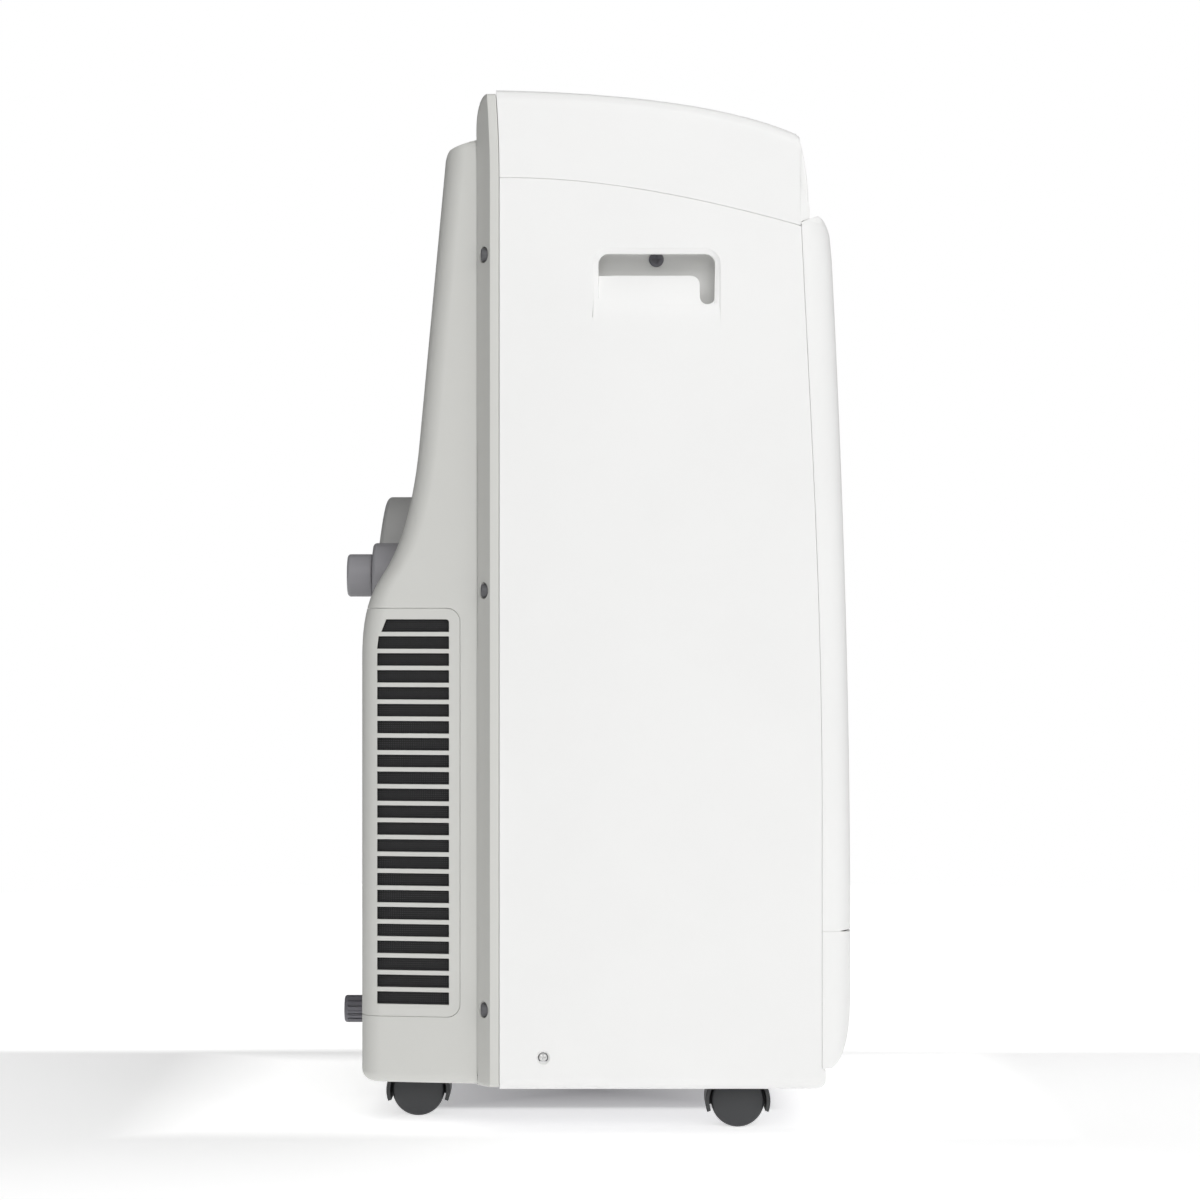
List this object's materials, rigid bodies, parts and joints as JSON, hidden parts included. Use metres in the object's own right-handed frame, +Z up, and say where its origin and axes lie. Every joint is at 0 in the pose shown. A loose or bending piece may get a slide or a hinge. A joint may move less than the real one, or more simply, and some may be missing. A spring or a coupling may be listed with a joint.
{
  "type": "portable air conditioner",
  "caption": "Floor-standing portable air conditioner on swivel casters, with wrap-round rear grille, exhaust port, drain outlets, side hand grips and a top air outlet with a swinging flap.",
  "frame": {"origin": "on the floor, under the middle of the bounding box", "axes": "+Z up, the front with the air outlet faces -Y, the exhaust port faces +Y, +X to the right of someone facing the front"},
  "size_m": [0.44, 0.3954, 0.773],
  "materials": {
    "casing_white": "satin moulded ABS",
    "casing_grey": "fine textured ABS",
    "handle_grey": "fine textured ABS",
    "dark_grey": "moulded polypropylene",
    "black_plastic": "moulded ABS",
    "panel_black": "gloss",
    "filter_mesh": "woven nylon mesh",
    "display": "smoked lens",
    "board": "solder mask",
    "plated_steel": "zinc plated",
    "fins": "mill finish fins",
    "copper": "drawn copper tube",
    "enamel": "gloss black enamel",
    "foam": "expanded polystyrene",
    "caster_grey": "moulded nylon",
    "wheel_tread": "smooth tread"
  },
  "bodies": {
    "root": {"rear_housing": "casing_grey", "exhaust_collar": "casing_grey", "cord_gland": "black_plastic", "left_side_panel": "casing_white", "right_side_panel": "casing_white", "left_handle_cup": "handle_grey", "right_handle_cup": "handle_grey", "base_tray": "dark_grey", "front_bulkhead": "plated_steel", "front_panel_upper": "casing_white", "front_panel_lower": "casing_white", "top_cover": "casing_white", "control_panel": "panel_black", "display_window": "display", "control_board": "board", "outlet_duct": "black_plastic", "louver_motor": "plated_steel", "upper_volute": "black_plastic", "upper_fan_motor": "plated_steel", "evaporator_coil": "fins", "drip_pan": "foam", "lower_volute": "foam", "lower_fan_motor": "plated_steel", "condenser_coil": "fins", "splash_motor": "plated_steel", "compressor": "enamel", "accumulator": "enamel", "suction_pipe": "copper", "discharge_pipe": "copper", "electrical_box": "plated_steel", "run_capacitor": "fins"},
    "lower_grille": {"lower_grille": "casing_grey", "lower_filter": "filter_mesh"},
    "upper_grille": {"upper_grille": "casing_grey", "upper_filter": "filter_mesh"},
    "mid_drain_cap": {"mid_drain_cap": "casing_grey"},
    "bottom_drain_cap": {"bottom_drain_cap": "dark_grey"},
    "float_switch": {"float_switch": "foam"},
    "louver_flap": {"louver_flap": "casing_white"},
    "upper_blower_wheel": {"upper_blower_wheel": "black_plastic"},
    "lower_blower_wheel": {"lower_blower_wheel": "black_plastic"},
    "splash_wheel": {"splash_wheel": "black_plastic"},
    "vane_link": {"vane_link": "black_plastic"},
    "vane_1": {"vane_1": "black_plastic"},
    "vane_2": {"vane_2": "black_plastic"},
    "vane_3": {"vane_3": "black_plastic"},
    "vane_4": {"vane_4": "black_plastic"},
    "button_power": {"button_power": "casing_white"},
    "button_mode": {"button_mode": "casing_white"},
    "button_fan": {"button_fan": "casing_white"},
    "button_up": {"button_up": "casing_white"},
    "button_down": {"button_down": "casing_white"},
    "caster_front_left_fork": {"caster_front_left_fork": "caster_grey"},
    "caster_front_left_wheels": {"caster_front_left_wheels": "wheel_tread"},
    "caster_front_right_fork": {"caster_front_right_fork": "caster_grey"},
    "caster_front_right_wheels": {"caster_front_right_wheels": "wheel_tread"},
    "caster_rear_left_fork": {"caster_rear_left_fork": "caster_grey"},
    "caster_rear_left_wheels": {"caster_rear_left_wheels": "wheel_tread"},
    "caster_rear_right_fork": {"caster_rear_right_fork": "caster_grey"},
    "caster_rear_right_wheels": {"caster_rear_right_wheels": "wheel_tread"}
  },
  "joints": [
    {"name": "lower_grille_slide", "type": "slide", "parent": "root", "child": "lower_grille", "axis": [0, 1, 0], "range_m": [0, 0.12]},
    {"name": "upper_grille_slide", "type": "slide", "parent": "root", "child": "upper_grille", "axis": [0, 1, 0], "range_m": [0, 0.08]},
    {"name": "mid_drain_cap_pull", "type": "slide", "parent": "root", "child": "mid_drain_cap", "axis": [0, 1, 0], "range_m": [0, 0.05]},
    {"name": "bottom_drain_cap_pull", "type": "slide", "parent": "root", "child": "bottom_drain_cap", "axis": [0, 1, 0], "range_m": [0, 0.03]},
    {"name": "float_rise", "type": "slide", "parent": "root", "child": "float_switch", "axis": [0, 0, 1], "range_m": [0, 0.012]},
    {"name": "louver_swing", "type": "hinge", "parent": "root", "child": "louver_flap", "pos_m": [0, -0.1585, 0.6835], "axis": [1, 0, 0], "range_deg": [0, 75]},
    {"name": "vane_1_swing", "type": "hinge", "parent": "root", "child": "vane_1", "pos_m": [-0.12, -0.125, 0.708], "axis": [0, 0, 1], "range_deg": [-35, 35]},
    {"name": "vane_2_swing", "type": "hinge", "parent": "root", "child": "vane_2", "pos_m": [-0.04, -0.125, 0.708], "axis": [0, 0, 1], "range_deg": [-35, 35]},
    {"name": "vane_3_swing", "type": "hinge", "parent": "root", "child": "vane_3", "pos_m": [0.04, -0.125, 0.708], "axis": [0, 0, 1], "range_deg": [-35, 35]},
    {"name": "vane_4_swing", "type": "hinge", "parent": "root", "child": "vane_4", "pos_m": [0.12, -0.125, 0.708], "axis": [0, 0, 1], "range_deg": [-35, 35]},
    {"name": "vane_link_pivot", "type": "hinge", "parent": "vane_1", "child": "vane_link", "pos_m": [-0.12, -0.139, 0.7095], "axis": [0, 0, 1], "range_deg": [-35, 35]},
    {"name": "power_press", "type": "slide", "parent": "root", "child": "button_power", "axis": [0, 0.225, -0.9744], "range_m": [0, 0.0015], "stiffness_N_per_m": 700, "springref_m": -0.0008},
    {"name": "mode_press", "type": "slide", "parent": "root", "child": "button_mode", "axis": [0, 0.225, -0.9744], "range_m": [0, 0.0015], "stiffness_N_per_m": 700, "springref_m": -0.0008},
    {"name": "fan_press", "type": "slide", "parent": "root", "child": "button_fan", "axis": [0, 0.225, -0.9744], "range_m": [0, 0.0015], "stiffness_N_per_m": 700, "springref_m": -0.0008},
    {"name": "up_press", "type": "slide", "parent": "root", "child": "button_up", "axis": [0, 0.225, -0.9744], "range_m": [0, 0.0015], "stiffness_N_per_m": 700, "springref_m": -0.0008},
    {"name": "down_press", "type": "slide", "parent": "root", "child": "button_down", "axis": [0, 0.225, -0.9744], "range_m": [0, 0.0015], "stiffness_N_per_m": 700, "springref_m": -0.0008},
    {"name": "upper_fan_spin", "type": "hinge", "parent": "root", "child": "upper_blower_wheel", "pos_m": [0, 0.018, 0.593], "axis": [0, 1, 0], "continuous": true},
    {"name": "lower_fan_spin", "type": "hinge", "parent": "root", "child": "lower_blower_wheel", "pos_m": [0.085, 0.062, 0.193], "axis": [0, 1, 0], "continuous": true},
    {"name": "splash_wheel_spin", "type": "hinge", "parent": "root", "child": "splash_wheel", "pos_m": [-0.11, 0.112, 0.095], "axis": [0, 1, 0], "continuous": true},
    {"name": "caster_front_left_swivel", "type": "hinge", "parent": "root", "child": "caster_front_left_fork", "pos_m": [-0.174, -0.122, 0.05], "axis": [0, 0, 1], "continuous": true},
    {"name": "caster_front_left_roll", "type": "hinge", "parent": "caster_front_left_fork", "child": "caster_front_left_wheels", "pos_m": [-0.174, -0.11, 0.02], "axis": [1, 0, 0], "continuous": true},
    {"name": "caster_front_right_swivel", "type": "hinge", "parent": "root", "child": "caster_front_right_fork", "pos_m": [0.174, -0.122, 0.05], "axis": [0, 0, 1], "continuous": true},
    {"name": "caster_front_right_roll", "type": "hinge", "parent": "caster_front_right_fork", "child": "caster_front_right_wheels", "pos_m": [0.174, -0.11, 0.02], "axis": [1, 0, 0], "continuous": true},
    {"name": "caster_rear_left_swivel", "type": "hinge", "parent": "root", "child": "caster_rear_left_fork", "pos_m": [-0.118, 0.121, 0.05], "axis": [0, 0, 1], "continuous": true},
    {"name": "caster_rear_left_roll", "type": "hinge", "parent": "caster_rear_left_fork", "child": "caster_rear_left_wheels", "pos_m": [-0.118, 0.133, 0.02], "axis": [1, 0, 0], "continuous": true},
    {"name": "caster_rear_right_swivel", "type": "hinge", "parent": "root", "child": "caster_rear_right_fork", "pos_m": [0.118, 0.121, 0.05], "axis": [0, 0, 1], "continuous": true},
    {"name": "caster_rear_right_roll", "type": "hinge", "parent": "caster_rear_right_fork", "child": "caster_rear_right_wheels", "pos_m": [0.118, 0.133, 0.02], "axis": [1, 0, 0], "continuous": true}
  ],
  "couplings": [
    {"joint": "vane_2_swing", "follows": "vane_1_swing", "ratio": 1},
    {"joint": "vane_3_swing", "follows": "vane_1_swing", "ratio": 1},
    {"joint": "vane_4_swing", "follows": "vane_1_swing", "ratio": 1},
    {"joint": "vane_link_pivot", "follows": "vane_1_swing", "ratio": -1}
  ]
}
